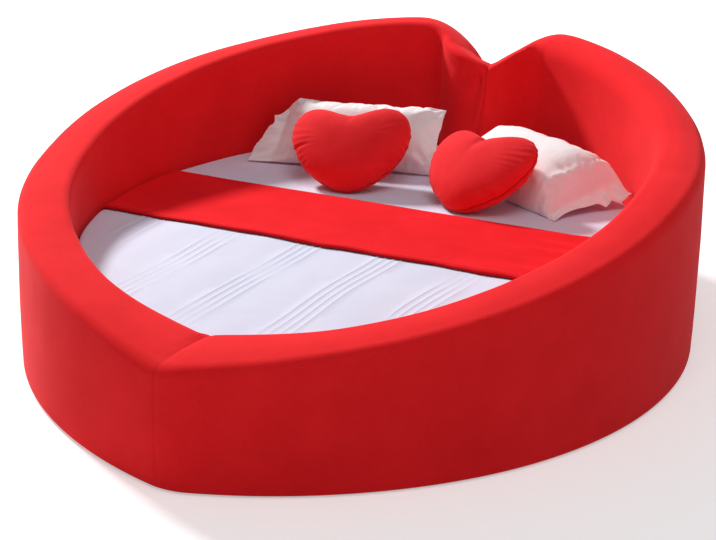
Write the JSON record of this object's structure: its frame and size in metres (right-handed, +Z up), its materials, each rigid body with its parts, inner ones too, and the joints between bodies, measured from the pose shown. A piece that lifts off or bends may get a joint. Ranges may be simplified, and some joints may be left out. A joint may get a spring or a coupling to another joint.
{
  "type": "heart-shaped bed",
  "caption": "Heart-shaped upholstered bed with a rim that rises to a notched head, slatted deck, mattress, spread, runner, pillows and heart cushions.",
  "frame": {"origin": "on the floor, at the middle of the bounding box in plan", "axes": "+Z up; +Y towards the notched head, along the length; X across the width, right lobe at +X"},
  "size_m": [2.2, 2.628, 0.8164],
  "materials": {
    "plywood": "sanded birch plywood, unpainted",
    "foam": "open-cell foam, matt",
    "red_upholstery": "red suede-like woven microfibre, matt",
    "zinc_steel": "zinc-plated",
    "pine": "planed pine, unpainted",
    "black_plastic": "moulded, matt",
    "mattress_ticking": "plain woven ticking, matt",
    "white_linen": "white cotton with fine pin tucks, soft sheen",
    "red_runner": "red satin-backed cloth, matt",
    "filling": "loose polyester fibre",
    "pillow_cotton": "off-white cotton, matt",
    "red_cushion": "red velour, matt"
  },
  "bodies": {
    "bed_frame": {"base_ring_left": "plywood", "base_ring_right": "plywood", "ribs_left": "plywood", "ribs_right": "plywood", "tip_former_left": "plywood", "tip_former_right": "plywood", "notch_former_left": "plywood", "notch_former_right": "plywood", "outer_skin_left": "plywood", "outer_skin_right": "plywood", "inner_skin_left": "plywood", "inner_skin_right": "plywood", "top_rail_left": "plywood", "top_rail_right": "plywood", "outer_foam_left": "foam", "outer_foam_right": "foam", "inner_foam_left": "foam", "inner_foam_right": "foam", "rim_foam_left": "foam", "rim_foam_right": "foam", "cover_left": "red_upholstery", "cover_right": "red_upholstery", "joining_bolts": "zinc_steel", "joining_washers": "zinc_steel", "joining_nuts": "zinc_steel", "slat_ledge_left": "pine", "slat_ledge_right": "pine", "centre_beam": "pine", "centre_leg_1": "pine", "centre_leg_2": "pine", "centre_leg_3": "pine", "leg_glides": "black_plastic", "wall_glides": "black_plastic", "slat_1": "pine", "slat_2": "pine", "slat_3": "pine", "slat_4": "pine", "slat_5": "pine", "slat_6": "pine", "slat_7": "pine", "slat_8": "pine", "slat_9": "pine", "slat_10": "pine", "slat_11": "pine", "slat_12": "pine", "slat_screws": "zinc_steel"},
    "mattress": {"mattress_core": "foam", "mattress_cover": "mattress_ticking", "bedspread": "white_linen", "bed_runner": "red_runner"},
    "left_pillow": {"pillow_filling_left": "filling", "pillowcase_left": "pillow_cotton"},
    "right_pillow": {"pillow_filling_right": "filling", "pillowcase_right": "pillow_cotton"},
    "left_heart_cushion": {"heart_filling_left": "filling", "heart_cushion_left": "red_cushion"},
    "right_heart_cushion": {"heart_filling_right": "filling", "heart_cushion_right": "red_cushion"}
  },
  "joints": [
    {"name": "mattress_lift", "type": "slide", "parent": "bed_frame", "child": "mattress", "axis": [0, 0, 1], "range_m": [0, 0.3]},
    {"name": "left_pillow_lift", "type": "slide", "parent": "mattress", "child": "left_pillow", "axis": [0, 0, 1], "range_m": [0, 0.25]},
    {"name": "right_pillow_lift", "type": "slide", "parent": "mattress", "child": "right_pillow", "axis": [0, 0, 1], "range_m": [0, 0.25]},
    {"name": "left_heart_lift", "type": "slide", "parent": "left_pillow", "child": "left_heart_cushion", "axis": [0, 0, 1], "range_m": [0, 0.2]},
    {"name": "right_heart_lift", "type": "slide", "parent": "right_pillow", "child": "right_heart_cushion", "axis": [0, 0, 1], "range_m": [0, 0.2]}
  ]
}
